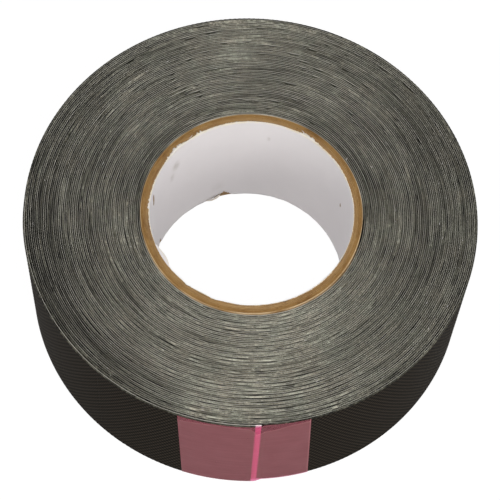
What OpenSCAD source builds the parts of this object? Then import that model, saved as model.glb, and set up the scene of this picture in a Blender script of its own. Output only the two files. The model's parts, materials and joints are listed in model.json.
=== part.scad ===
// Roll of wide cloth tape with a release liner, wound on a board core and closed with a film tab.
// The roll lies on its side. The origin is on the core's axis, at the lower face, and +Z is up.
// Seen from above, the tape winds outward counter-clockwise and is cut at the front, towards -Y.

/* [Core] */
// Diameter of the bore through the core
core_bore_d = 76.2; // [40:0.1:120]
// Thickness of the white paper that lines the bore
lining_t = 0.2; // [0.1:0.05:0.6]
// Thickness of each kraft ply in the core's wall
ply_t = 0.52; // [0.3:0.01:1]
// Glue line under each kraft ply
glue_t = 0.03; // [0.02:0.01:0.1]

/* [Tape] */
// Width of the tape and its liner, and length of the core
tape_w = 60; // [20:1:120]
// Thickness of the cloth with its adhesive
tape_t = 0.535; // [0.3:0.005:1]
// Thickness of the release liner
liner_t = 0.1; // [0.06:0.01:0.2]
// Air that the winding leaves on each side of the liner
slack = 0.03; // [0.02:0.01:0.06]
// Turns of tape wound on the core, before the loose end
turns = 62; // [4:1:80]

/* [Loose end] */
// Angle at which the tape is cut, counter-clockwise from +X
cut_angle = 275; // [250:1:330]
// Extra room under the loose end, over that of a wound turn
end_lift = 0.2; // [0.15:0.05:1]
// Gap between the hinged lengths of the loose end
end_gap = 0.1; // [0.05:0.01:0.4]
// Length of liner that sticks out past the cut
liner_tail_len = 2.2; // [0.5:0.1:3]

/* [Tab] */
// Thickness of the tab's film
film_t = 0.08; // [0.04:0.01:0.2]
// Glue line between the film and the loose end
film_glue = 0.02; // [0.01:0.01:0.1]
// Air between the tab's flap and the turn beneath
flap_gap = 0.12; // [0.1:0.01:0.3]
// Length of film on the loose end, up to the cut
anchor_len = 28.5; // [15:0.5:40]
// Bare tape on the last hinged length, behind the film
anchor_margin = 1.1; // [0.5:0.1:5]
// Length of film that goes on sloping down past the liner's tail
ramp_past_len = 1.4; // [1:0.1:4]
// Length of film on the turn beneath
flap_len = 16; // [6:0.5:40]
// Distance of the film's edges from the faces of the roll
film_inset = 0.2; // [0:0.1:2]

/* [Hidden] */
PLIES = 6;
LENGTHS = 6;

// A circle is smooth to the eye at this many sides
$fn = 180;

// Core
bore_r = core_bore_d / 2;
ply_pitch = glue_t + ply_t;
first_ply_r = bore_r + lining_t + glue_t;
core_r = bore_r + lining_t + PLIES * ply_pitch;

// The spiral is made of half turns about two centres, so that each half turn is a true cylinder
turn_pitch = tape_t + liner_t + 2 * slack;
centre_shift = turn_pitch / 4;
first_liner_r = core_r + slack + centre_shift;
first_tape_r = first_liner_r + liner_t + slack;

// Loose end: it goes on from the last half turn, about the second centre, with room beneath it
beneath_r = first_tape_r + (turns - 1.5) * turn_pitch + tape_t;
end_tape_r = beneath_r + 2 * slack + liner_t + end_lift;
end_outer_r = end_tape_r + tape_t;
end_liner_r = end_tape_r - slack - liner_t;
// The liner's last length moves by itself, so it lies midway between the tape and the turn beneath
tip_liner_r = (beneath_r + end_tape_r - liner_t) / 2;
deg_per_mm = 180 / (PI * end_outer_r);
half_gap = end_gap / 2 * deg_per_mm;
loose_angle = 180;
last_angle = cut_angle - (anchor_len + anchor_margin) * deg_per_mm;

// Tab
anchor_r = end_outer_r + film_glue;
flap_r = beneath_r + flap_gap;
ramp_angle = cut_angle + (liner_tail_len + ramp_past_len) * deg_per_mm;
flap_angle = ramp_angle + flap_len * deg_per_mm;
film_w = tape_w - 2 * film_inset;

// Angle at which hinged length i of the loose end starts
function length_start(i) = loose_angle + (last_angle - loose_angle) * (i - 1) / (LENGTHS - 1);

// Angle at which it ends
function length_end(i) = i < LENGTHS ? length_start(i + 1) : cut_angle;

// Point at a radius and an angle about the loose end's centre
function end_point(r, a) = [centre_shift + r * cos(a), r * sin(a)];

// Tube about the core's axis
module tube(inner_r, wall) {
  rotate_extrude()
    translate([inner_r, 0])
      square([wall, tape_w]);
}

// Cross sections of a strip's half turns, one pitch apart
module turn_sections(inner_r, thick, count) {
  for (k = [0 : count - 1])
    translate([inner_r + k * turn_pitch, 0])
      square([thick, tape_w]);
}

// One continuous strip wound outward from +X, up to the start of the loose end
module wound_strip(inner_r, thick) {
  translate([-centre_shift, 0, 0])
    rotate_extrude(angle = 180)
      turn_sections(inner_r, thick, turns);
  translate([centre_shift, 0, 0])
    rotate([0, 0, 180])
      rotate_extrude(angle = 180)
        turn_sections(inner_r + turn_pitch / 2, thick, turns - 1);
}

// Length of strip on the loose end, between two angles
module end_strip(inner_r, thick, from, to, width = tape_w) {
  translate([centre_shift, 0, (tape_w - width) / 2])
    rotate([0, 0, from])
      rotate_extrude(angle = to - from)
        translate([inner_r, 0])
          square([thick, width]);
}

module core_lining() {
  color("white")
    tube(bore_r, lining_t);
}

module core_ply(i) {
  color("peru")
    tube(first_ply_r + (i - 1) * ply_pitch, ply_t);
}

module wound_liner() {
  color("gainsboro")
    wound_strip(first_liner_r, liner_t);
}

module wound_tape() {
  color([0.24, 0.23, 0.21])
    wound_strip(first_tape_r, tape_t);
}

module liner_end(i) {
  last = i == LENGTHS;
  tail = last ? liner_tail_len * deg_per_mm : -half_gap;
  color("gainsboro")
    end_strip(last ? tip_liner_r : end_liner_r, liner_t, length_start(i) + half_gap, length_end(i) + tail);
}

module tape_end(i) {
  color([0.16, 0.15, 0.13])
    end_strip(end_tape_r, tape_t, length_start(i) + half_gap, length_end(i) - half_gap);
}

module tab_anchor() {
  color([0.55, 0.32, 0.36])
    end_strip(anchor_r, film_t, cut_angle - anchor_len * deg_per_mm, cut_angle - half_gap, film_w);
}

// The film slopes from the top of the step at the cut down to the turn beneath, and lies on it
module tab_flap() {
  slope_angle = cut_angle + half_gap;
  // The slope ends inside the film that lies on the turn, and that film starts a little before it
  sunk_t = film_t / 4;
  lap_angle = ramp_angle - 4 * film_t * deg_per_mm;
  color([0.75, 0.3, 0.42]) {
    translate([0, 0, film_inset])
      linear_extrude(film_w)
        polygon([end_point(anchor_r, slope_angle), end_point(anchor_r + film_t, slope_angle),
                 end_point(flap_r + film_t - sunk_t, ramp_angle), end_point(flap_r + sunk_t, ramp_angle)]);
    end_strip(flap_r, film_t, lap_angle, flap_angle, film_w);
  }
}

core_lining();
for (i = [1 : PLIES]) core_ply(i);
wound_liner();
wound_tape();
for (i = [1 : LENGTHS]) liner_end(i);
for (i = [1 : LENGTHS]) tape_end(i);
tab_anchor();
tab_flap();
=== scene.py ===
import json
import math

import bpy
import numpy as np
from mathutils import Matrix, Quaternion, Vector


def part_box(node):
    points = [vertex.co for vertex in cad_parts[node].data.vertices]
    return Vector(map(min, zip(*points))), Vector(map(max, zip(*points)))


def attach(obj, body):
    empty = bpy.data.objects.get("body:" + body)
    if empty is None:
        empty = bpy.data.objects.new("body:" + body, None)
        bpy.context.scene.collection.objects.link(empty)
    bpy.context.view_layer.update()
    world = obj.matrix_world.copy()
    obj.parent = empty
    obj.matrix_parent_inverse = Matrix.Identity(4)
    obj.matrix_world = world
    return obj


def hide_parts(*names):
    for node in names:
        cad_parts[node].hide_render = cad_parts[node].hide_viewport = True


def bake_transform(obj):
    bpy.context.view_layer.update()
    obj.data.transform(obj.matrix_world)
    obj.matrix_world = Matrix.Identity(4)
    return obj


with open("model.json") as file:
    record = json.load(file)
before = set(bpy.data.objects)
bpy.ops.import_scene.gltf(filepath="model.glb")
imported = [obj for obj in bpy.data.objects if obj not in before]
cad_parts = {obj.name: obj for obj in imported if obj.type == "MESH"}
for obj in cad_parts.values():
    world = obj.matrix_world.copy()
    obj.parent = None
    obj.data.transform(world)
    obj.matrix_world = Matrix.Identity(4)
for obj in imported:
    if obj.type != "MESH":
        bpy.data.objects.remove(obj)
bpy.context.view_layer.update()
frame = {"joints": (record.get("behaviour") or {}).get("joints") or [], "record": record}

# Roll of wide cloth tape with a release liner, on a board core, closed with a pink film tab.
# Lengths are in metres, angles in degrees, counter-clockwise from +X seen from above.

MM = 0.001
rng = np.random.default_rng(62)

# Sizes that the frame holds
joints = {j["name"]: j for j in frame["joints"]}
bore = next(m for m in frame["record"]["mounts"] if m["name"] == "core_bore")
BORE_R = bore["dims"]["r_mm"] * MM
WIDTH = bore["dims"]["length_mm"] * MM
PLIES = 6
PLY_BOXES = [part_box(f"core_ply_{i}") for i in range(1, PLIES + 1)]
CORE_R = PLY_BOXES[-1][1].x
LENGTHS = 6

# Driving sizes, as in the part's source
LINING_T = 0.2 * MM
PLY_T = 0.52 * MM
TAPE_T = 0.535 * MM
LINER_T = 0.1 * MM
SLACK = 0.03 * MM
TURNS = 62
END_LIFT = 0.2 * MM
LINER_TAIL = 2.2 * MM
FILM_T = 0.08 * MM
FILM_GLUE = 0.02 * MM
FLAP_GAP = 0.12 * MM
ANCHOR_LEN = 28.5 * MM
RAMP_LEN = 3.6 * MM
FLAP_LEN = 16 * MM

# The winding is a spiral of half turns about two centres
PITCH = TAPE_T + LINER_T + 2 * SLACK
SHIFT = PITCH / 4
FIRST_TAPE_R = CORE_R + 2 * SLACK + LINER_T + SHIFT
LINER_DROP = SLACK + LINER_T
LAST_TURN = TURNS - 0.5
BENEATH_R = FIRST_TAPE_R + (TURNS - 1.5) * PITCH + TAPE_T
END_TAPE_R = BENEATH_R + 2 * SLACK + LINER_T + END_LIFT
END_OUTER_R = END_TAPE_R + TAPE_T
ANCHOR_R = END_OUTER_R + FILM_GLUE
FLAP_R = BENEATH_R + FLAP_GAP
TIP_LINER_R = (BENEATH_R + END_TAPE_R - LINER_T) / 2


def hinge_angle(name):
    x, y, _ = joints[name]["pos_m"]
    return math.degrees(math.atan2(y, x - SHIFT)) % 360


HINGES = [hinge_angle(f"tape_peel_{i}") for i in range(1, LENGTHS + 1)]
CUT = hinge_angle("tab_peel")
DEG_PER_M = math.degrees(1 / END_OUTER_R)
HALF_LENGTH = (HINGES[1] - HINGES[0]) / 2

# Weave of the cloth: threads across the tape lie WEFT_GAP apart, threads along it WARP_GAP apart
WEFT_GAP = 0.93 * MM
WARP_GAP = 1.6 * MM
WEAVE_DEPTH = 0.13 * MM


# Numbers and noise

def smooth(x):
    x = np.clip(x, 0, 1)
    return x * x * (3 - 2 * x)


def gauss(values, sigma):
    """Values smoothed with a Gaussian of sigma steps."""
    reach = int(3 * sigma) + 1
    kernel = np.exp(-0.5 * (np.arange(-reach, reach + 1) / sigma) ** 2)
    padded = np.pad(values, reach, mode="edge")
    return np.convolve(padded, kernel / kernel.sum(), "valid")


def unit(values):
    return (values - values.mean()) / values.std()


def bump_at(angle, place, wide):
    """1 at an angle, falling to 0 within a number of degrees on each side."""
    away = np.abs((angle - place + 180) % 360 - 180)
    return smooth(1 - away / wide)


def places_at(degrees, places):
    """Sum of bumps at the given (angle, half width, size) places."""
    return sum(size * bump_at(degrees, angle, half) for angle, half, size in places)


class TurnNoise:
    """Smooth noise along the winding, which may run alike over neighbouring turns."""

    BINS = 480

    def __init__(self, along_deg, across_turns):
        bins = self.BINS
        raw = rng.normal(size=(TURNS + 4) * bins)
        raw = gauss(raw, along_deg / 360 * bins)
        self.values = unit(self.across(raw, across_turns))

    @classmethod
    def across(cls, values, turns):
        """Values averaged with those on the turns inside and outside them."""
        if turns <= 0:
            return values
        reach = int(3 * turns) + 1
        total, weight = np.zeros_like(values), np.zeros_like(values)
        for k in range(-reach, reach + 1):
            w = math.exp(-0.5 * (k / turns) ** 2)
            moved = np.roll(values, k * cls.BINS)
            whole = np.ones_like(values)
            if k > 0:
                whole[: k * cls.BINS] = 0
            elif k < 0:
                whole[k * cls.BINS:] = 0
            total += w * moved * whole
            weight += w * whole
        return total / weight

    def at(self, turn):
        place = np.clip((np.asarray(turn) + 1) * self.BINS, 0, len(self.values) - 1)
        return np.interp(place, np.arange(len(self.values)), self.values)


def ring_noise(columns, sigma_deg):
    """Noise round a circle, without a seam."""
    raw = rng.normal(size=columns)
    sigma = max(sigma_deg / 360 * columns, 0.3)
    return unit(gauss(np.tile(raw, 3), sigma)[columns:2 * columns])


# Meshes

def make_mesh(name, co, quads, caps=()):
    me = bpy.data.meshes.new(name)
    loops = np.concatenate([quads.ravel(), *[np.asarray(c) for c in caps]]).astype(np.int32)
    sizes = np.concatenate([np.full(len(quads), 4), np.array([len(c) for c in caps], int)])
    me.vertices.add(len(co))
    me.vertices.foreach_set("co", np.ascontiguousarray(co, np.float32).ravel())
    me.loops.add(len(loops))
    me.loops.foreach_set("vertex_index", loops)
    me.polygons.add(len(sizes))
    me.polygons.foreach_set("loop_start", np.concatenate([[0], np.cumsum(sizes)[:-1]]).astype(np.int32))
    me.update(calc_edges=True)
    me.shade_smooth()
    made = bpy.data.objects.new(name, me)
    bpy.context.scene.collection.objects.link(made)
    return made


def set_attribute(obj, name, values):
    made = obj.data.attributes.new(name, "FLOAT", "POINT")
    made.data.foreach_set("value", np.ascontiguousarray(values, np.float32).ravel())


def set_steps(obj, columns, **attributes):
    """Attributes with one value for all points of a step along a strip."""
    for name, values in attributes.items():
        set_attribute(obj, name, np.repeat(values, columns))


def sharpen(obj):
    obj.data.set_sharp_from_angle(angle=math.radians(50))


def grid_quads(rows, columns, close_rows):
    """Quads of a grid of points: rows along the strip, columns round its section."""
    i = np.arange(rows if close_rows else rows - 1)[:, None]
    j = np.arange(columns)[None]
    ahead = (i + 1) % rows
    beside = (j + 1) % columns
    corners = [i * columns + j, ahead * columns + j, ahead * columns + beside, i * columns + beside]
    return np.stack(corners, -1).reshape(-1, 4)


def sweep(name, centre, angle, section, materials, slot_of=None, closed=False):
    """Closed strip about the vertical axis. section[i, j] is (radius, height) of point j at angle[i],
    in radians. The section runs up the outer face, inward over the top, down the inner face and out
    along the bottom."""
    n, m = section.shape[:2]
    radius = section[..., 0]
    angle = np.reshape(angle, (n, -1))
    x = np.asarray(centre)[..., None] + radius * np.cos(angle)
    y = radius * np.sin(angle)
    co = np.stack([x, y, section[..., 1]], -1).reshape(-1, 3)
    caps = [] if closed else [np.arange(m), np.arange(m)[::-1] + (n - 1) * m]
    made = make_mesh(name, co, grid_quads(n, m, closed), caps)
    for material in materials:
        made.data.materials.append(material)
    if slot_of is not None:
        rows = n if closed else n - 1
        index = np.concatenate([np.tile(slot_of, rows), np.ones(len(caps), int)])
        made.data.polygons.foreach_set("material_index", index.astype(np.int32))
    return made


def band_section(inner_r, thick, low, high):
    """Section of a flat strip at each step along it."""
    outer_r = inner_r + thick
    points = [(outer_r, low), (outer_r, high), (inner_r, high), (inner_r, low)]
    return np.array(points).transpose(2, 0, 1)


def spiral(first_r, turn):
    """Centre, radius and angle of the winding at a number of turns from +X."""
    whole = np.floor(turn)
    part = turn - whole
    lower = part >= 0.5
    centre = np.where(lower, SHIFT, -SHIFT)
    radius = first_r + (whole + 0.5 * lower) * PITCH
    return centre, radius, 2 * np.pi * part


def length_at(turn):
    return 2 * np.pi * (FIRST_TAPE_R * turn + PITCH * turn ** 2 / 2)


def turn_at(length):
    return (np.sqrt(FIRST_TAPE_R ** 2 + PITCH * length / np.pi) - FIRST_TAPE_R) / PITCH


# Materials

def node(tree, kind, inputs=None, **settings):
    made = tree.nodes.new("ShaderNode" + kind)
    for key, value in settings.items():
        setattr(made, key, value)
    for key, value in (inputs or {}).items():
        socket = made.inputs[key]
        if isinstance(value, bpy.types.NodeSocket):
            tree.links.new(value, socket)
        else:
            socket.default_value = value
    return made


def calc(tree, operation, a, b=0.0, c=0.0):
    made = node(tree, "Math", {0: a, 1: b, 2: c}, operation=operation)
    return made.outputs[0]


def add_up(tree, base, parts):
    """A base level, plus each part times its weight."""
    level = base
    for part, weight in parts:
        level = calc(tree, "MULTIPLY_ADD", part, weight, level)
    return level


def attribute(tree, name):
    return node(tree, "Attribute", attribute_name=name).outputs["Fac"]


def position(tree):
    return node(tree, "TexCoord").outputs["Object"]


def strip_place(tree):
    """Place on a strip in millimetres: along it, across it, and both as a vector."""
    along = calc(tree, "MULTIPLY", attribute(tree, "along"), 1 / MM)
    across = calc(tree, "MULTIPLY", attribute(tree, "across"), 1 / MM)
    return along, across, node(tree, "CombineXYZ", {"X": along, "Y": across}).outputs[0]


def noise(tree, scale, detail=2.0, roughness=0.5, vector=None, w=None):
    if w is not None:
        made = node(tree, "TexNoise", {"W": w}, noise_dimensions="1D")
    else:
        made = node(tree, "TexNoise", {"Vector": vector}, noise_dimensions="3D")
    made.inputs["Scale"].default_value = scale
    made.inputs["Detail"].default_value = detail
    made.inputs["Roughness"].default_value = roughness
    return made.outputs[0]


def ramp(tree, factor, stops):
    made = node(tree, "ValToRGB", {"Fac": factor})
    elements = made.color_ramp.elements
    while len(elements) < len(stops):
        elements.new(0.5)
    for element, (place, colour) in zip(elements, stops):
        element.position = place
        element.color = (*colour, 1)
    return made.outputs["Color"]


def mix(tree, factor, a, b, blend="MIX"):
    made = node(tree, "Mix", data_type="RGBA", blend_type=blend)
    for socket, value in ((made.inputs[0], factor), (made.inputs[6], a), (made.inputs[7], b)):
        if isinstance(value, bpy.types.NodeSocket):
            tree.links.new(value, socket)
        elif hasattr(value, "__len__"):
            socket.default_value = (*value, 1)
        else:
            socket.default_value = value
    return made.outputs[2]


def bump(tree, height, distance, strength=1.0):
    made = node(tree, "Bump", {"Height": height, "Distance": distance, "Strength": strength})
    return made.outputs["Normal"]


def new_material(name):
    made = bpy.data.materials.new(name)
    made.use_nodes = True
    made.node_tree.nodes.clear()
    return made, made.node_tree


def finish_material(tree, shader):
    output = node(tree, "OutputMaterial")
    tree.links.new(shader.outputs[0], output.inputs["Surface"])


# Colours of the cut edge, from adhesive to bare thread, and the faint tints over them
EDGE_COLOURS = [(0.10, (0.010, 0.0098, 0.0076)), (0.40, (0.070, 0.069, 0.055)),
                (0.62, (0.170, 0.167, 0.137)), (0.92, (0.62, 0.61, 0.53))]
EDGE_TINTS = [(0.35, (1.0, 0.95, 0.88)), (0.65, (0.95, 1.0, 0.94))]
# How much the attributes of the winding add to the tone of its cut edge
# The first weight paints sheen and shade by sector into the cut edge's colour.
EDGE_WEIGHTS = [("rubbed", 0.235), ("broad", 0.035), ("lines", 0.085), ("notch", -0.8)]


def cut_edge_material():
    """Cut edge of the cloth tape: grey thread ends in short streaks, with dark adhesive between them."""
    made, tree = new_material("cut_edge")
    along = calc(tree, "MULTIPLY", attribute(tree, "along"), 1 / MM)
    where = position(tree)
    fibre = noise(tree, 0.7, 5, 0.65, w=along)
    grain = noise(tree, 2400, 4, 0.65, vector=where)
    streak = noise(tree, 0.15, 3, 0.6, w=along)
    turn = noise(tree, 0.04, 2, 0.5, w=along)
    clump = noise(tree, 330, 2, 0.6, vector=where)
    patch = noise(tree, 45, 2, 0.5, vector=where)
    soft = add_up(tree, -0.7, [(turn, 0.7), (clump, 0.4), (patch, 0.3)])
    even = calc(tree, "MULTIPLY_ADD", attribute(tree, "evenness"), -0.8, 1.0)
    dash = calc(tree, "SUBTRACT", noise(tree, 0.4, 2, 0.5, w=along), 0.51)
    rim_dash = calc(tree, "MULTIPLY", dash, attribute(tree, "rim"))
    level = add_up(tree, -0.305, [(fibre, 0.5), (grain, 0.4), (streak, 0.4), (soft, even), (rim_dash, 1.6)])
    level = add_up(tree, level, [(attribute(tree, name), weight) for name, weight in EDGE_WEIGHTS])
    colour = ramp(tree, level, EDGE_COLOURS)
    tint = noise(tree, 160, 2, 0.6, vector=where)
    colour = mix(tree, 1.0, colour, ramp(tree, tint, EDGE_TINTS), "MULTIPLY")
    cloth = node(tree, "MapRange", {"Value": attribute(tree, "share"), "From Min": 0.1, "From Max": 0.6},
                 interpolation_type="SMOOTHSTEP").outputs[0]
    colour = mix(tree, cloth, mix(tree, 0.1, colour, (0.012, 0.011, 0.009)), colour)
    normal = bump(tree, calc(tree, "ADD", grain, fibre), 0.05 * MM, 0.5)
    shader = node(tree, "BsdfPrincipled", {"Base Color": colour, "Roughness": 0.55, "Normal": normal,
                                           "Specular IOR Level": 0.12})
    finish_material(tree, shader)
    return made


def cloth_material():
    """Outer face of the tape: black rubberised plain weave with a dull sheen."""
    made, tree = new_material("cloth_face")
    along, across, strip = strip_place(tree)
    weft = calc(tree, "COSINE", calc(tree, "MULTIPLY", along, math.pi / (WEFT_GAP / MM)))
    warp = calc(tree, "COSINE", calc(tree, "MULTIPLY", across, math.pi / (WARP_GAP / MM)))
    crossing = calc(tree, "MULTIPLY_ADD", calc(tree, "MULTIPLY", weft, warp), 0.5, 0.5)
    past_sheen_edge = noise(tree, 0.05, 4, 0.6, vector=strip)
    lint = noise(tree, 2.2, 3, 0.7, vector=strip)
    raised = calc(tree, "MULTIPLY", crossing, crossing)
    colour = mix(tree, raised, (0.0006, 0.0005, 0.0004), (0.042, 0.0334, 0.0238))
    colour = mix(tree, calc(tree, "MULTIPLY", past_sheen_edge, 0.25), colour, (0.0205, 0.016, 0.0112))
    strands = calc(tree, "MULTIPLY_ADD", lint, 0.35, crossing)
    normal = bump(tree, strands, 0.05 * MM, 0.7)
    rough = calc(tree, "MULTIPLY_ADD", lint, 0.2, 0.55)
    shader = node(tree, "BsdfPrincipled", {"Base Color": colour, "Roughness": rough, "Normal": normal,
                                           "Specular IOR Level": 0.012})
    finish_material(tree, shader)
    return made


def liner_material():
    """Release liner: pale glazed paper."""
    made, tree = new_material("liner_paper")
    where = position(tree)
    fibre = noise(tree, 900, 3, 0.6, vector=where)
    cloud = noise(tree, 45, 3, 0.55, vector=where)
    colour = mix(tree, cloud, (0.64, 0.62, 0.56), (0.76, 0.74, 0.68))
    colour = mix(tree, calc(tree, "MULTIPLY", fibre, 0.35), colour, (0.56, 0.54, 0.48))
    colour = mix(tree, attribute(tree, "stain"), colour, (0.13, 0.126, 0.108))
    face = mix(tree, cloud, (0.88, 0.865, 0.83), (0.94, 0.925, 0.89))
    colour = mix(tree, attribute(tree, "face"), colour, face)
    normal = bump(tree, fibre, 0.02 * MM, 0.5)
    shader = node(tree, "BsdfPrincipled", {"Base Color": colour, "Roughness": 0.42, "Normal": normal,
                                           "Specular IOR Level": 0.4})
    finish_material(tree, shader)
    return made


def kraft_material():
    """Cut edge of kraft board: brown, with fibres that run round the core and paler dust."""
    made, tree = new_material("kraft_board")
    where = position(tree)
    round_core = node(tree, "CombineXYZ", {"X": calc(tree, "MULTIPLY", attribute(tree, "along"), 0.22),
                                           "Y": attribute(tree, "radius"),
                                           "Z": attribute(tree, "across")}).outputs[0]
    fibre = noise(tree, 2600, 4, 0.65, vector=round_core)
    strand = noise(tree, 700, 3, 0.6, vector=round_core)
    cloud = noise(tree, 90, 3, 0.6, vector=where)
    colour = ramp(tree, cloud, [(0.35, (0.185, 0.086, 0.024)), (0.65, (0.33, 0.185, 0.06))])
    colour = mix(tree, calc(tree, "MULTIPLY_ADD", strand, 2.6, -0.85), colour, (0.37, 0.215, 0.072))
    colour = mix(tree, attribute(tree, "pale"), colour, (0.66, 0.50, 0.31))
    pale = calc(tree, "MULTIPLY", calc(tree, "GREATER_THAN", fibre, 0.62), 0.4)
    colour = mix(tree, pale, colour, (0.52, 0.37, 0.18))
    dark = calc(tree, "MULTIPLY", calc(tree, "LESS_THAN", fibre, 0.37), 0.5)
    colour = mix(tree, dark, colour, (0.12, 0.055, 0.016))
    normal = bump(tree, fibre, 0.08 * MM, 0.8)
    shader = node(tree, "BsdfPrincipled", {"Base Color": colour, "Roughness": 0.85, "Normal": normal,
                                           "Specular IOR Level": 0.2})
    finish_material(tree, shader)
    return made


def lining_material():
    """White paper that lines the bore: faint clouds and fibres, with soft grey scuffs."""
    made, tree = new_material("lining_paper")
    where = position(tree)
    cloud = noise(tree, 38, 4, 0.6, vector=where)
    fibre = noise(tree, 700, 3, 0.6, vector=where)
    colour = mix(tree, cloud, (0.81, 0.785, 0.80), (0.88, 0.855, 0.865))
    colour = mix(tree, attribute(tree, "torn"), colour, (0.86, 0.78, 0.62))
    scuff = attribute(tree, "scuff")
    grain = noise(tree, 420, 3, 0.7, vector=where)
    scuff = calc(tree, "MULTIPLY", scuff, calc(tree, "MULTIPLY_ADD", grain, 2.4, -0.3))
    colour = mix(tree, scuff, colour, (0.33, 0.29, 0.23))
    bare = calc(tree, "MULTIPLY", attribute(tree, "bare"), calc(tree, "MULTIPLY_ADD", grain, 2.0, 0.1))
    bare = node(tree, "MapRange", {"Value": bare, "From Min": 0.3, "From Max": 0.55}).outputs[0]
    colour = mix(tree, bare, colour, (0.30, 0.175, 0.075))
    normal = bump(tree, calc(tree, "MULTIPLY_ADD", fibre, 0.3, cloud), 0.05 * MM, 0.6)
    shader = node(tree, "BsdfPrincipled", {"Base Color": colour, "Roughness": 0.6, "Normal": normal,
                                           "Specular IOR Level": 0.3})
    finish_material(tree, shader)
    return made


def film_material():
    """Thin translucent pink film: filters what is beneath it and has a dull haze of its own."""
    made, tree = new_material("tab_film")
    along, across, strip = strip_place(tree)
    cloud = noise(tree, 0.12, 3, 0.55, vector=strip)
    drawn = node(tree, "CombineXYZ", {"X": calc(tree, "MULTIPLY", along, 0.06), "Y": across}).outputs[0]
    streak = noise(tree, 0.9, 3, 0.6, vector=drawn)
    band = attribute(tree, "tight")
    haze = mix(tree, cloud, (0.450, 0.152, 0.174), (0.486, 0.180, 0.201))
    haze = mix(tree, calc(tree, "MULTIPLY", band, 0.7), haze, (0.42, 0.115, 0.145))
    surface = node(tree, "BsdfPrincipled", {"Base Color": haze, "Roughness": 0.45,
                                            "Specular IOR Level": 0.12})
    clear = node(tree, "BsdfTransparent", {"Color": (1.0, 0.28, 0.59, 1)})
    cloudy = calc(tree, "SUBTRACT", cloud, 0.5)
    streaky = calc(tree, "SUBTRACT", streak, 0.5)
    crease = attribute(tree, "crease")
    end = attribute(tree, "end")
    amount = add_up(tree, 0.43, [(band, -0.06), (crease, 0.2), (end, 0.22), (cloudy, 0.06), (streaky, 0.14)])
    shader = node(tree, "MixShader", {0: amount, 1: clear.outputs[0], 2: surface.outputs[0]})
    finish_material(tree, shader)
    return made


def film_back_material():
    """Inner face of the film: clear, with a trace of its adhesive."""
    made, tree = new_material("film_back")
    trace = noise(tree, 500, 3, 0.6, vector=position(tree))
    surface = node(tree, "BsdfPrincipled", {"Base Color": (0.8, 0.6, 0.6, 1), "Roughness": 0.5,
                                            "Specular IOR Level": 0.1})
    clear = node(tree, "BsdfTransparent", {"Color": (1.0, 0.97, 0.98, 1)})
    shader = node(tree, "MixShader", {0: calc(tree, "MULTIPLY", trace, 0.04), 1: clear.outputs[0],
                                      2: surface.outputs[0]})
    finish_material(tree, shader)
    return made


def film_edge_material():
    """Cut edge of the film, where its colour is deep and nothing shows through."""
    made, tree = new_material("film_edge")
    tint = noise(tree, 300, 2, 0.5, vector=position(tree))
    colour = mix(tree, tint, (0.20, 0.055, 0.065), (0.27, 0.08, 0.095))
    finish_material(tree, node(tree, "BsdfPrincipled", {"Base Color": colour, "Roughness": 0.6}))
    return made


CUT_EDGE = cut_edge_material()
CLOTH = cloth_material()
LINER = liner_material()
KRAFT = kraft_material()
LINING = lining_material()
FILM = film_material()
FILM_EDGE = film_edge_material()
FILM_BACK = film_back_material()


# Camera, as fitted to the photograph

def make_camera():
    focal_px, frame_px, sensor = 1923.8, 500, 36.0
    distance, elevation, roll = 752.0 * MM, 64.53, 4.005
    target = Vector((0.393, 1.496, 23.24)) * MM
    data = bpy.data.cameras.new("camera")
    data.sensor_width = sensor
    data.lens = sensor * focal_px / frame_px
    data.clip_start, data.clip_end = 0.05, 20
    camera = bpy.data.objects.new("camera", data)
    bpy.context.scene.collection.objects.link(camera)
    back = Vector((0, -math.cos(math.radians(elevation)), math.sin(math.radians(elevation))))
    camera.location = target + back * distance
    camera.rotation_mode = "QUATERNION"
    turn = Quaternion((0, 0, 1), math.radians(roll))
    camera.rotation_quaternion = (-back).to_track_quat("-Z", "Y") @ turn
    bpy.context.scene.camera = camera


# The winding

GAP_LONG = TurnNoise(6, 0.2)
GAP_SHORT = TurnNoise(2, 0)
GAP_ACROSS = 1.5
GAP_SCALE = 0.08 * MM

# Gaps that stand open beside the core: (turn, angle, half width in degrees, millimetres)
OPEN_GAPS = [(1, 350, 16, 0.16), (2, 34, 16, 0.16), (3, 315, 9, 0.22),
             (5, 322, 7, 0.2), (2, 268, 10, 0.14)]


def gap_shift():
    """Radial shift of each turn: most gaps are tight and a few are open, with no net growth."""
    opening = np.exp(0.4 * GAP_LONG.values + 0.8 * GAP_SHORT.values)
    opening = np.clip(opening / opening.mean() - 1, -0.6, 1.8) * GAP_SCALE
    bins = TurnNoise.BINS
    for turn, angle, half, wide in OPEN_GAPS:
        place = np.arange(len(opening)) / bins - 1 - turn - angle / 360
        opening += wide * MM * smooth(1 - np.abs(place) * 360 / half)
    total = opening.copy()
    for start in range(bins, len(total), bins):
        stop = min(start + bins, len(total))
        total[start:stop] += total[start - bins:stop - bins]
    total -= TurnNoise.across(total, GAP_ACROSS)
    turn = np.arange(len(total)) / bins - 1
    ends = smooth((turn - 0.2) / 1.5) * smooth((LAST_TURN - 1.2 - turn) / 3)
    return turn, np.where(turn < 2, np.maximum(total, -SLACK), total) * ends


SHIFT_TURN, SHIFT_R = gap_shift()
GROUP_HEIGHT = TurnNoise(5, 1.0)
TURN_HEIGHT = TurnNoise(3, 0)
FRAY_HEIGHT = TurnNoise(1.2, 0)
WIDE_HEIGHT = TurnNoise(30, 8)
NOTCH = TurnNoise(0.9, 0)
ROUNDNESS = TurnNoise(5, 0.3)
LINER_HEIGHT = TurnNoise(3, 0)
STAIN = TurnNoise(5, 0)
RINGS = TurnNoise(45, 5)
BANDS = TurnNoise(14, 2)


def turn_shift(turn):
    return np.interp(turn, SHIFT_TURN, SHIFT_R)


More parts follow.
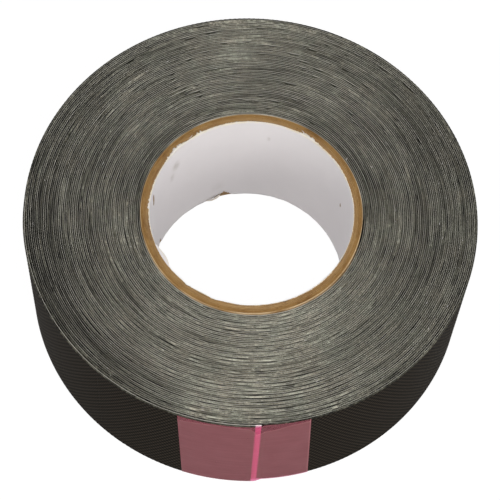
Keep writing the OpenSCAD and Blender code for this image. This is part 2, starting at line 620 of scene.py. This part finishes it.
def edge_drop(turn):
    """How far the tape's edge lies inside the face of the roll."""
    drop = 0.22 + 0.04 * WIDE_HEIGHT.at(turn) + 0.015 * GROUP_HEIGHT.at(turn)
    drop = drop + 0.025 * TURN_HEIGHT.at(turn) + 0.03 * FRAY_HEIGHT.at(turn)
    return (np.clip(drop, 0.0, 0.5) + notch(turn)) * MM


def notch(turn):
    """Depth in millimetres of the short places where the edge of the cloth is missing."""
    return 0.35 * np.clip(NOTCH.at(turn) - 1.4, 0, 1.3)


# Half width in degrees of the front of the roll, about the tab
FRONT_HALF = 85


def evenness(turn):
    """How even the tone of the cut edge is: most beside the tab."""
    return bump_at(turn * 360, CUT, FRONT_HALF)


# Painted sheen and shade on the cut edge: sectors painted paler where its fibres would catch the lamps, and
# darker where they would not: (angle, half width in degrees, tone)
SHEEN_SECTORS = [(CUT, FRONT_HALF, 1.0), (CUT - 182, 65, 0.9)]
SHEEN_BY_CORE = [(5, 80, 0.48), (180, 60, 0.25)]
SHEEN_AND_SHADE_BY_RIM = [(85, 65, 0.36), (320, 30, -0.3)]
SHEEN_LESS_MIDWAY = [(268, 45, 0.5)]
SHADE_BY_RIM = [(215, 75, 0.85)]
SHEEN_BY_RIM_PAST_EDGE = [(262, 22, 0.35)]

# Angle at which the painted sheen at the front ends, on the left, and degrees over which it fades
SHEEN_EDGE = 254
SHEEN_FADE = 7


def rubbed(turn):
    """Painted sheen and shade on the cut edge, by sector: how far it is painted paler, most at the front,
    beside the tab, and at the back, and painted darker at the sides.
    """
    degrees = turn * 360
    outward = turn / TURNS
    by_core = 1 - smooth(outward / 0.6)
    midway = smooth(1 - np.abs(outward - 0.3) / 0.22)
    by_rim = smooth((outward - 0.5) / 0.4)
    past_sheen_edge = smooth((degrees % 360 - SHEEN_EDGE) / SHEEN_FADE + 0.5)
    tone = places_at(degrees, SHEEN_SECTORS) * (1 + 0.2 * WIDE_HEIGHT.at(turn))
    rim_tone = places_at(degrees, SHEEN_AND_SHADE_BY_RIM) + past_sheen_edge * places_at(degrees, SHEEN_BY_RIM_PAST_EDGE)
    rim_tone = rim_tone - (1 - past_sheen_edge) * places_at(degrees, SHADE_BY_RIM)
    tone = tone - midway * places_at(degrees, SHEEN_LESS_MIDWAY)
    return tone + by_core * places_at(degrees, SHEEN_BY_CORE) + by_rim * rim_tone


# Where single turns stand out from their neighbours: (angle, half width in degrees, share)
LINES = [(CUT, FRONT_HALF, 1.0), (180, 90, 0.9)]


def lines(turn):
    """Tone of the single turns where some stand out from their neighbours, most near the rim."""
    tone = [LINER_HEIGHT.at(turn + k) + 0.8 * FRAY_HEIGHT.at(turn + k) for k in (-1, 0, 1)]
    tone = tone[1] - 0.65 * (tone[0] + tone[2])
    tone = np.where(tone < 0, 1.25 * tone, 0.75 * tone)
    return tone * places_at(turn * 360, LINES) * (0.5 + 0.6 * turn / TURNS)


# Cross-section of the tape's edge: (share of the thickness, mm below the edge), from outer to inner face
EDGE = [(1.0, 0.44), (0.86, 0.22), (0.64, 0.06), (0.5, 0.0), (0.36, 0.06), (0.14, 0.22), (0.0, 0.44)]
# Shares of the thickness over both edges of the tape
EDGE_SHARES = [share for share, _ in EDGE + EDGE[::-1]]


def tape_section(inner_r, outer_rows, outer_depth, top, bottom, fray, roundness=1.0):
    """Section points of the tape for each step along it. outer_depth is how far each outer row lies
    below the face."""
    n = len(inner_r)
    points = []
    for row, z in enumerate(outer_rows):
        points.append((inner_r + TAPE_T - outer_depth[:, row], np.full(n, z)))
    for level, sign, order in ((top, -1, EDGE), (bottom, 1, EDGE[::-1])):
        for share, depth in order:
            loose = rng.normal(size=n) * fray
            points.append((inner_r + share * TAPE_T, level + sign * (roundness * depth * MM + np.abs(loose))))
    return np.array(points).transpose(2, 0, 1)


def section_slots(rows):
    """Material of each face round the tape's section: 0 for cloth, 1 for the cut edge."""
    edge = len(EDGE)
    return np.array([0] * rows + [1] * (edge - 1) + [0] + [1] * (edge - 1) + [0])


# Steps along the winding
TAPE_STEP = 1.0 * MM
LINER_STEP = 1.8 * MM

# How strongly the edges of the outermost turns are dashed
RIM_DASHES = 0.6


def wound_tape():
    """All turns beneath the outermost one."""
    stop = LAST_TURN - 1
    along = np.arange(0, length_at(stop), TAPE_STEP)
    turn = np.append(turn_at(along), stop)
    along = np.append(along, length_at(stop))
    centre, radius, angle = spiral(FIRST_TAPE_R, turn)
    radius = radius + turn_shift(turn)
    top = WIDTH - edge_drop(turn)
    bottom = edge_drop(turn[::-1])
    n = len(turn)
    roundness = np.clip(0.8 + 0.15 * ROUNDNESS.at(turn), 0.4, 1.3)
    section = tape_section(radius, [], np.zeros((n, 0)), top, bottom, 0.03 * MM, roundness)
    made = sweep("wound_tape_turns", centre, angle, section, [CLOTH, CUT_EDGE], section_slots(0))
    broad = 0.6 * BANDS.at(turn) - 0.8 * RINGS.at(turn)
    rim = RIM_DASHES * smooth((turn - LAST_TURN + 7) / 6)
    # One attribute set here carries the painted sheen and shade by sector for the cut edge.
    set_steps(made, section.shape[1], along=along, notch=notch(turn), rim=rim, rubbed=rubbed(turn),
              evenness=evenness(turn), lines=lines(turn), broad=broad)
    set_attribute(made, "across", section[..., 1])
    set_attribute(made, "share", np.tile(EDGE_SHARES, n))
    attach(made, "roll")
    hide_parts("wound_tape")
    return made


def wound_liner():
    along = np.arange(0, length_at(LAST_TURN), LINER_STEP)
    turn = np.append(turn_at(along), LAST_TURN)
    centre, radius, angle = spiral(FIRST_TAPE_R - LINER_DROP, turn)
    radius = radius + turn_shift(turn)
    sunk = edge_drop(turn) / MM + 0.2 + 0.05 * LINER_HEIGHT.at(turn)
    sunk = np.clip(sunk * smooth(turn / 1.5), 0.02, 0.9) * MM
    section = band_section(radius, LINER_T, sunk[::-1], WIDTH - sunk)
    made = sweep("wound_liner_turns", centre, angle, section, [LINER])
    sharpen(made)
    # The liner's edge is also painted paler in the sectors of the cut edge's painted sheen.
    stain = 0.4 + 0.16 * STAIN.at(turn) - 0.2 * LINER_HEIGHT.at(turn)
    stain = stain + 0.1 * RINGS.at(turn) - 0.22 * rubbed(turn)
    set_steps(made, section.shape[1], stain=np.clip(stain, 0, 0.9))
    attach(made, "roll")
    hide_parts("wound_liner")
    return made


# The cloth that shows: the outermost turn and the loose end

ROW_STEP = WARP_GAP / 2
OUTER_ROWS = np.arange(0.5 * ROW_STEP, WIDTH - 0.4 * ROW_STEP, ROW_STEP)
CLOTH_STEP = WEFT_GAP / 3


def weave_depth(along, across):
    weft = np.cos(np.pi * along / WEFT_GAP)
    warp = np.cos(np.pi * (across - OUTER_ROWS[0]) / WARP_GAP)
    return WEAVE_DEPTH / 2 * (1 - weft[:, None] * warp[None])


def cloth_strip(name, centre, angle, inner_r, along, top, bottom):
    depth = weave_depth(along, OUTER_ROWS)
    section = tape_section(inner_r, OUTER_ROWS, depth, top, bottom, 0.02 * MM)
    made = sweep(name, centre, angle, section, [CLOTH, CUT_EDGE], section_slots(len(OUTER_ROWS)))
    set_steps(made, section.shape[1], along=along, rim=np.full(len(along), RIM_DASHES))
    set_attribute(made, "across", section[..., 1] - OUTER_ROWS[0])
    set_attribute(made, "share", np.tile([1.0] * len(OUTER_ROWS) + EDGE_SHARES, len(along)))
    return made


PEEL_START = HINGES[0] - 2.5
OUTER_START = length_at(LAST_TURN - 1)

# How far the edges of the cloth that shows drop, against those of the winding
OUTER_DROP = 0.6


def outer_turn():
    stop = LAST_TURN - (HINGES[0] - PEEL_START) / 360
    count = int(round((length_at(stop) - OUTER_START) / CLOTH_STEP)) + 1
    along = np.linspace(OUTER_START, length_at(stop), count)
    turn = turn_at(along)
    centre, radius, angle = spiral(FIRST_TAPE_R, turn)
    made = cloth_strip("wound_tape_outer_turn", centre, angle, radius, along,
                       WIDTH - OUTER_DROP * edge_drop(turn), OUTER_DROP * edge_drop(turn + 1))
    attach(made, "roll")
    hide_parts("wound_tape")
    return made


def end_along(angle):
    """Length along the tape at an angle of the loose end."""
    return length_at(LAST_TURN) + np.radians(angle - HINGES[0]) * END_TAPE_R


def end_tape_radius(angle):
    """Inner radius of the loose end, which rises from the winding at its first hinge."""
    lift = smooth((angle - HINGES[0]) / (1.2 * HALF_LENGTH))
    return END_TAPE_R - END_LIFT * (1 - lift)


# The tape is cut a little short of the tab's fold
TAPE_STOP = CUT - 0.6
PIECE_STARTS = [PEEL_START] + [h - HALF_LENGTH for h in HINGES[1:]]
PIECE_ENDS = PIECE_STARTS[1:] + [TAPE_STOP]


def tape_length(i):
    start, stop = PIECE_STARTS[i], PIECE_ENDS[i]
    count = int(round(math.radians(stop - start) * END_TAPE_R / CLOTH_STEP)) + 1
    angle = np.linspace(start, stop, count)
    along = end_along(angle)
    turn = LAST_TURN + (angle - HINGES[0]) / 360
    centre = np.where(angle < HINGES[0], -SHIFT, SHIFT)
    before = FIRST_TAPE_R + (TURNS - 1) * PITCH
    radius = np.where(angle < HINGES[0], before, end_tape_radius(angle))
    made = cloth_strip(f"tape_end_cloth_{i + 1}", centre, np.radians(angle), radius, along,
                       WIDTH - OUTER_DROP * edge_drop(turn), OUTER_DROP * edge_drop(turn + 1))
    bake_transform(made)
    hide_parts(f"tape_end_{i + 1}")
    return made


def liner_length(i):
    last = i == LENGTHS - 1
    start = HINGES[0] if i == 0 else PIECE_STARTS[i]
    stop = TAPE_STOP + LINER_TAIL * DEG_PER_M if last else PIECE_ENDS[i]
    angle = np.linspace(start, stop, int((stop - start) / 0.6) + 2)
    radius = end_tape_radius(angle) - LINER_DROP
    if last:
        radius = radius + (TIP_LINER_R - radius) * smooth((angle - start) / HALF_LENGTH)
    turn = LAST_TURN + (angle - HINGES[0]) / 360
    inset = np.clip(0.1 + 0.1 * LINER_HEIGHT.at(turn), 0.0, 0.3) * MM + OUTER_DROP * edge_drop(turn)
    if last:
        inset = inset * (1 - smooth((angle - TAPE_STOP + 0.3) / 0.3))
    section = band_section(radius, LINER_T, inset, WIDTH - inset)
    centre = np.full(len(angle), SHIFT)
    made = sweep(f"liner_end_paper_{i + 1}", centre, np.radians(angle), section, [LINER])
    sharpen(made)
    set_steps(made, section.shape[1], face=smooth((angle - TAPE_STOP + 0.8) / 0.5))
    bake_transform(made)
    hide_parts(f"liner_end_{i + 1}")
    return made


# The film tab

FILM_ROWS = 150
FILM_LOW, FILM_HIGH = 0.55 * MM, WIDTH - 0.5 * MM

# Depth below the rim to which the film is pressed tight, by angle
TIGHT_ANGLE = [250, 255.5, 260, 265, 270, 273.4, 274.8, 276.4, 278.8, 282.8, 288, 292]
TIGHT_DEPTH = [5.0, 4.5, 2.6, 1.5, 1.8, 2.7, 7.6, 7.3, 6.4, 3.2, 2.2, 2.0]
# The film is cut and laid on a little askew: degrees at its lower and its upper corner
ASKEW_START = (0.65, -0.45)
ASKEW_STOP = (1.25, -0.15)
# Angle at which the crease along the tight part starts
CREASE_FROM = 254


def both_faces(values):
    """Values of the film's rows, up its outer face and down its inner face."""
    return np.concatenate([values, values[:, ::-1]], 1)


def film_angles(fold, free, askew, count):
    """Angle of each point of the film, from its fold to its free end, which is askew."""
    share = np.linspace(0, 1, count)[:, None]
    return fold + (free + np.linspace(*askew, FILM_ROWS)[None] - fold) * share


def film_strip(name, angle, radius):
    """Thin sheet of film with its inner face at the given angle and radius for each step and row."""
    z = np.broadcast_to(np.linspace(FILM_LOW, FILM_HIGH, FILM_ROWS), angle.shape)
    below = WIDTH - z - np.interp(angle, TIGHT_ANGLE, TIGHT_DEPTH) * MM
    crease = np.exp(-(below / (0.4 * MM)) ** 2) * smooth((angle - CREASE_FROM) / 3)
    radius = radius + 0.05 * MM * crease
    outer = np.stack([radius + FILM_T, z], -1)
    inner = np.stack([radius, z], -1)[:, ::-1]
    section = np.concatenate([outer, inner], 1)
    slots = np.zeros(2 * FILM_ROWS, int)
    slots[FILM_ROWS:] = 2
    slots[[FILM_ROWS - 1, 2 * FILM_ROWS - 1]] = 1
    centre = np.full(len(angle), SHIFT)
    made = sweep(name, centre, np.radians(both_faces(angle)), section, [FILM, FILM_EDGE, FILM_BACK], slots)
    sharpen(made)
    set_attribute(made, "along", both_faces(np.radians(angle - CUT) * ANCHOR_R))
    set_attribute(made, "across", section[..., 1])
    set_attribute(made, "tight", both_faces(1 - smooth(below / (1.2 * MM) + 0.5)))
    set_attribute(made, "crease", both_faces(crease))
    end = smooth(1 - (angle[-1:] - angle) / 0.5) * (angle > CUT + 1)
    set_attribute(made, "end", both_faces(end))
    return made


def film_anchor():
    angle = film_angles(CUT, CUT - ANCHOR_LEN * DEG_PER_M, ASKEW_START, 96)[::-1]
    made = film_strip("tab_film_on_end", angle, np.full(angle.shape, ANCHOR_R))
    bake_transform(made)
    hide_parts("tab_anchor")
    return made


def film_flap():
    ramp_stop = CUT + RAMP_LEN * DEG_PER_M
    angle = film_angles(CUT, ramp_stop + FLAP_LEN * DEG_PER_M, ASKEW_STOP, 110)
    slope = smooth((angle - CUT) / (ramp_stop - CUT))
    made = film_strip("tab_film_flap", angle, ANCHOR_R + (FLAP_R - ANCHOR_R) * slope)
    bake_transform(made)
    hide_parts("tab_flap")
    return made


# The core

# Nicks in the inner edge of the board: (angle, half width in degrees, millimetres)
NICKS = [(235.5, 4, 0.4), (252.5, 3.5, 0.45), (245, 12, 0.15), (266, 5, 0.25), (292, 4, 0.2), (334, 5, 0.2)]
# How pale the cut edge of each ply is, from the bore outward
PLY_PALE = [0.18, 0.14, 0.11, 0.05, 0.0, 0.04]


def ply(i):
    """Kraft ply of the core. The outermost one keeps a pale fuzzy edge where the winding was cut."""
    outer_r = PLY_BOXES[i][1].x
    inner_r = outer_r - PLY_T
    mid_r = (inner_r + outer_r) / 2
    columns = 720
    angle = np.arange(columns) * 2 * np.pi / columns
    lift = (0.03 * ring_noise(columns, 25) + 0.015 * ring_noise(columns, 2) + rng.normal(0, 0.02)) * MM
    top = WIDTH - 0.1 * MM + np.clip(lift, -0.12 * MM, 0.12 * MM)
    bottom = WIDTH - top
    rough = 0.025 * MM
    bevel = 0.06 * MM
    last = i == PLIES - 1
    shoulder = (0.22 if last else 0.06) * MM
    nicks = np.zeros(columns)
    if i == 0:
        rag = np.abs(ring_noise(columns, 0.8))
        nicks = np.clip(places_at(np.degrees(angle), NICKS) * (0.5 + 0.6 * rag), 0, 0.4) * MM

    def ridge(level, sign, cut):
        pick = rng.normal(size=(3, columns)) * rough
        return [(np.full(columns, outer_r), level - sign * bevel),
                (np.full(columns, outer_r - shoulder), level + pick[0]),
                (np.full(columns, mid_r) + cut / 2, level + pick[1]),
                (np.full(columns, inner_r + bevel) + cut, level + pick[2]),
                (np.full(columns, inner_r) + cut, level - sign * bevel)]

    points = ridge(top, 1, nicks) + ridge(bottom, -1, 0.0)[::-1]
    section = np.array(points).transpose(2, 0, 1)
    made = sweep(f"core_ply_board_{i + 1}", np.zeros(columns), angle, section, [KRAFT], closed=True)
    pale = np.full(section.shape[:2], PLY_PALE[i]) * (1 + 0.3 * ring_noise(columns, 6))[:, None]
    if last:
        fuzz = np.clip(0.62 + 0.3 * ring_noise(columns, 4), 0.1, 0.95)
        pale[:, [0, -1]] = fuzz[:, None]
        pale[:, [1, -2]] = 0.8 * fuzz[:, None]
    set_attribute(made, "pale", np.clip(pale, 0, 1))
    set_steps(made, section.shape[1], along=np.abs(angle - np.pi) * mid_r)
    set_attribute(made, "radius", section[..., 0])
    set_attribute(made, "across", section[..., 1])
    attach(made, "roll")
    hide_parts(f"core_ply_{i + 1}")
    return made


# Torn upper edge of the lining: (angle, half width in degrees, millimetres)
LIPS = [(143, 12, 1.0), (125, 5, 0.5), (59, 11, 0.8), (103, 34, 0.14), (30, 30, 0.16), (180, 26, 0.3),
        (312, 30, 0.14)]
TEARS = [(236, 6, 0.9), (254, 7, 1.0), (268, 8, 0.6), (345, 10, 0.4), (203, 5, 0.5)]
# Torn lower edge, where the board shows
LOWER_TEARS = [(109, 8, 3.3), (160.5, 1.8, 4.4), (20, 5, 0.7)]
# Marks on the wall: (angle, half width in degrees, height and half height in mm, strength)
SCUFFS = [(142.5, 4.5, 48, 4.5, 0.45), (146, 3, 41.5, 4, 0.3), (83, 1.6, 48, 2, 0.3), (112, 6, 9, 5, 0.12)]
BARE = [(169.5, 2.2, 50, 7, 1.0), (26.5, 1.6, 37, 3, 0.6), (172, 1.5, 27, 5, 0.4), (18, 1.2, 44, 3, 0.3)]


def marks(angle, height, places):
    """Soft spots at the given (angle, half width, height, half height, strength) places."""
    total = np.zeros_like(angle)
    for place, half, level, tall, strength in places:
        spot = bump_at(angle, place, half) * smooth(1 - np.abs(height - level) / tall)
        total = np.maximum(total, strength * spot)
    return total


def lining():
    """White paper tube in the bore: its upper edge is torn and folds out over the board here and there."""
    columns, rows = 1440, 48
    degrees = np.arange(columns) * 360 / columns
    rag = 0.5 * np.abs(ring_noise(columns, 0.35)) + 0.5 * np.abs(ring_noise(columns, 1.2))
    lip = np.clip(places_at(degrees, LIPS) * (0.15 + 1.05 * rag) + 0.06 * rag, 0.02, 1.3) * MM
    torn_down = places_at(degrees, TEARS) * (0.4 + 0.6 * rag) + 0.12 * rag
    top = WIDTH + 0.02 * MM - np.clip(torn_down, 0, 1.6) * MM
    bottom = 0.05 * MM + 0.12 * MM * np.abs(ring_noise(columns, 2))
    bottom = bottom + places_at(degrees, LOWER_TEARS) * (0.8 + 0.25 * rag) * MM
    share = np.linspace(0, 1, rows)
    z = bottom[:, None] + (top - bottom)[:, None] * share[None]
    dent = 0.10 * MM * ring_noise(columns, 14)[:, None] * np.sin(np.pi * share)[None]
    inner = np.full((columns, rows), BORE_R) + np.clip(dent, -0.15 * MM, 0.1 * MM)
    flat = np.full(columns, BORE_R + LINING_T)
    points = [(flat, z[:, k]) for k in range(rows - 1)]
    points += [(flat, top - 0.05 * MM), (flat + lip, top + 0.07 * MM), (flat + lip, top + 0.12 * MM),
               (flat - 0.15 * MM, top + 0.1 * MM)]
    points += [(inner[:, k], z[:, k]) for k in reversed(range(rows))]
    section = np.array(points).transpose(2, 0, 1)
    angle = np.repeat(degrees[:, None], section.shape[1], 1)
    made = sweep("core_lining_paper", np.zeros(columns), np.radians(degrees), section, [LINING], closed=True)
    torn = np.zeros(section.shape[:2])
    torn[:, rows - 1:rows + 3] = np.clip(0.35 + 0.4 * np.abs(ring_noise(columns, 1.5)), 0, 0.9)[:, None]
    torn[:, rows + 3] = torn[:, rows]
    height = section[..., 1] / MM
    set_attribute(made, "torn", torn)
    set_attribute(made, "scuff", marks(angle, height, SCUFFS))
    set_attribute(made, "bare", marks(angle, height, BARE))
    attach(made, "roll")
    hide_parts("core_lining")
    return made


def lining_flake():
    """Strip of torn paper that hangs from the lining's lower edge."""
    degrees = np.linspace(110.5, 120, 40)
    share = np.linspace(0, 1, len(degrees))
    taper = np.sqrt(np.clip(1 - share ** 3, 0.05, 1)) * smooth(share / 0.15 + 0.2)
    inner = BORE_R - 0.15 * MM - 0.8 * MM * np.sin(np.pi * share)
    middle = (2.0 - 1.1 * share) * MM
    half = 0.8 * MM * taper
    section = band_section(inner, 0.12 * MM, middle - half, middle + half)
    made = sweep("core_lining_flake", np.zeros(len(degrees)), np.radians(degrees), section, [LINING])
    sharpen(made)
    torn = np.full(section.shape[:2], 0.3)
    torn[:, [0, 3]] = 0.9
    set_attribute(made, "torn", torn)
    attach(made, "roll")
    return made


# Flap of torn paper at the upper edge, which leans into the bore: first and last angle, and millimetres
FLAP_FROM, FLAP_TO, FLAP_IN = 205.5, 221.0, 1.25


def lining_flap():
    """Flap of paper torn loose at the lining's upper edge."""
    degrees = np.linspace(FLAP_FROM, FLAP_TO, 50)
    share = np.linspace(0, 1, len(degrees))
    ragged = 0.1 * rng.normal(size=len(degrees)) * share * (1 - share)
    reach = FLAP_IN * np.sin(np.pi * share ** 1.2) ** 0.8 + ragged
    points = []
    for part, down in ((0, 0.0), (0.5, 0.08), (1, 0.3)):
        radius = BORE_R + (0.3 - (reach + 0.3) * part) * MM
        points.append((radius, WIDTH + (0.12 - down * reach) * MM))
    points += [(radius, z - 0.09 * MM) for radius, z in reversed(points)]
    section = np.array(points[::-1]).transpose(2, 0, 1)
    made = sweep("core_lining_flap", np.zeros(len(degrees)), np.radians(degrees), section, [LINING])
    sharpen(made)
    set_attribute(made, "torn", np.tile([0.1, 0.1, 0.6, 0.6, 0.1, 0.1], len(degrees)))
    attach(made, "roll")
    return made


def slivers(name, places, material):
    """Small tapered fibres that lie on the roll. Each place is its two ends and its thickness."""
    co, quads = [], []
    for start, stop, thick in places:
        start, stop = np.array(start), np.array(stop)
        run = (stop - start) / np.linalg.norm(stop - start)
        side = np.cross(run, (0, 0, 1.0) if abs(run[2]) < 0.9 else (1.0, 0, 0))
        side /= np.linalg.norm(side)
        rise = np.cross(side, run)
        for share, wide in ((0, 0.35), (0.3, 1.0), (0.7, 0.9), (1, 0.3)):
            middle = start + (stop - start) * share + side * thick * (0.8 * share * (1 - share) * 4)
            for a, b in ((1, 0), (0, 1), (-1, 0), (0, -1)):
                co.append(middle + (side * a + rise * b) * thick / 2 * wide)
    for first in range(0, len(co), 16):
        for ring in range(3):
            low = first + 4 * ring
            quads += [(low + k, low + (k + 1) % 4, low + 4 + (k + 1) % 4, low + 4 + k) for k in range(4)]
        quads.append((first + 3, first + 2, first + 1, first))
        quads.append((first + 12, first + 13, first + 14, first + 15))
    made = make_mesh(name, np.array(co), np.array(quads))
    made.data.materials.append(material)
    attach(made, "roll")
    return made


def polar(angle, radius, z):
    a = math.radians(angle)
    return (radius * MM * math.cos(a), radius * MM * math.sin(a), z * MM)


# Fibres seen singly: (angle, radius, height) of both ends, and thickness, in degrees and mm
LOOSE_FIBRES = [((36.2, 43.2, 60.1), (35.0, 42.0, 60.15), 0.2),
                ((315.6, 38.1, 60.1), (318.6, 37.9, 59.9), 0.28),
                ((310.2, 38.3, 60.1), (309.6, 37.4, 60.2), 0.18),
                ((27.2, 49.0, 60.05), (26.6, 49.9, 60.05), 0.2),
                ((62.5, 38.9, 60.1), (64.8, 39.6, 60.1), 0.22),
                ((132.0, 38.7, 60.1), (128.5, 39.2, 60.1), 0.2)]
# Fibres strewn over the winding: how many, and between which radii in mm
FIBRE_COUNT = 70
FIBRE_RADII = (44, 84)


def fibres():
    """Bits of thread and paper on the cut edge."""
    places = [(polar(*start), polar(*stop), thick * MM) for start, stop, thick in LOOSE_FIBRES]
    for _ in range(FIBRE_COUNT):
        angle = rng.uniform(0, 360)
        radius = math.sqrt(rng.uniform(FIBRE_RADII[0] ** 2, FIBRE_RADII[1] ** 2))
        run = rng.uniform(0.4, 1.6)
        turn = math.degrees(run / radius)
        lean = rng.normal(0, 0.15)
        z = WIDTH / MM - 0.16
        thick = rng.uniform(0.07, 0.14) * MM
        places.append((polar(angle, radius, z), polar(angle + turn, radius + lean, z), thick))
    return slivers("lint_on_edge", places, LINING)


# Floor and light

def seen_directly(tree):
    """1 for rays that show the background itself: to the camera, in a reflection or through glass."""
    path = node(tree, "LightPath")
    direct = calc(tree, "MAXIMUM", path.outputs["Is Camera Ray"], path.outputs["Is Glossy Ray"])
    return calc(tree, "MAXIMUM", direct, path.outputs["Is Transmission Ray"])


def make_floor():
    half, below = 6.0, 0.05 * MM
    corners = [(-half, -half), (half, -half), (half, half), (-half, half)]
    co = np.array([(x, y, -below) for x, y in corners])
    floor = make_mesh("floor", co, np.array([[0, 1, 2, 3]]))
    made, tree = new_material("floor")
    lit = node(tree, "BsdfDiffuse", {"Color": (0.8, 0.8, 0.8, 1)})
    shade = node(tree, "BsdfDiffuse", {"Color": (0.1, 0.1, 0.1, 1)})
    glow = node(tree, "Emission", {"Color": (1, 1, 1, 1), "Strength": 0.95})
    shown = node(tree, "AddShader", {0: shade.outputs[0], 1: glow.outputs[0]})
    shader = node(tree, "MixShader", {0: seen_directly(tree), 1: lit.outputs[0], 2: shown.outputs[0]})
    finish_material(tree, shader)
    floor.data.materials.append(made)


WARM = (1.0, 0.975, 0.93)
COOL = (0.985, 0.985, 1.0)
AMBIENT = 0.43


def make_world(strength):
    world = bpy.data.worlds.new("studio")
    bpy.context.scene.world = world
    world.use_nodes = True
    tree = world.node_tree
    tree.nodes.clear()
    level = calc(tree, "MULTIPLY_ADD", seen_directly(tree), 1 - strength, strength)
    tint = mix(tree, seen_directly(tree), COOL, (1, 1, 1))
    sky = node(tree, "Background", {"Color": tint, "Strength": level})
    output = node(tree, "OutputWorld")
    tree.links.new(sky.outputs[0], output.inputs["Surface"])


def make_lamp(name, azimuth, elevation, distance, size, level):
    """Soft square lamp. A white surface that faces it renders at the given level."""
    data = bpy.data.lights.new(name, "AREA")
    data.color = WARM
    data.shape = "SQUARE"
    data.size = size
    data.energy = level * (math.pi * distance) ** 2
    lamp = bpy.data.objects.new(name, data)
    bpy.context.scene.collection.objects.link(lamp)
    flat = distance * math.cos(math.radians(elevation))
    lamp.location = (flat * math.cos(math.radians(azimuth)), flat * math.sin(math.radians(azimuth)),
                     distance * math.sin(math.radians(elevation)))
    aim = Vector((0, 0, WIDTH / 2)) - lamp.location
    lamp.rotation_mode = "QUATERNION"
    lamp.rotation_quaternion = aim.to_track_quat("-Z", "Y")


make_camera()
make_floor()
make_world(AMBIENT)
make_lamp("overhead", 275, 66, 0.8, 0.4, 0.24)
make_lamp("front", 278, 24, 0.65, 0.3, 0.26)
make_lamp("right", 325, 38, 1.1, 0.5, 0.16)
make_lamp("left", 205, 42, 1.1, 0.5, 0.085)

wound_liner()
wound_tape()
outer_turn()
for i in range(LENGTHS):
    tape_length(i)
    liner_length(i)
film_anchor()
film_flap()
for i in range(PLIES):
    ply(i)
lining()
lining_flake()
lining_flap()
fibres()

bpy.context.scene.view_settings.view_transform = "Standard"
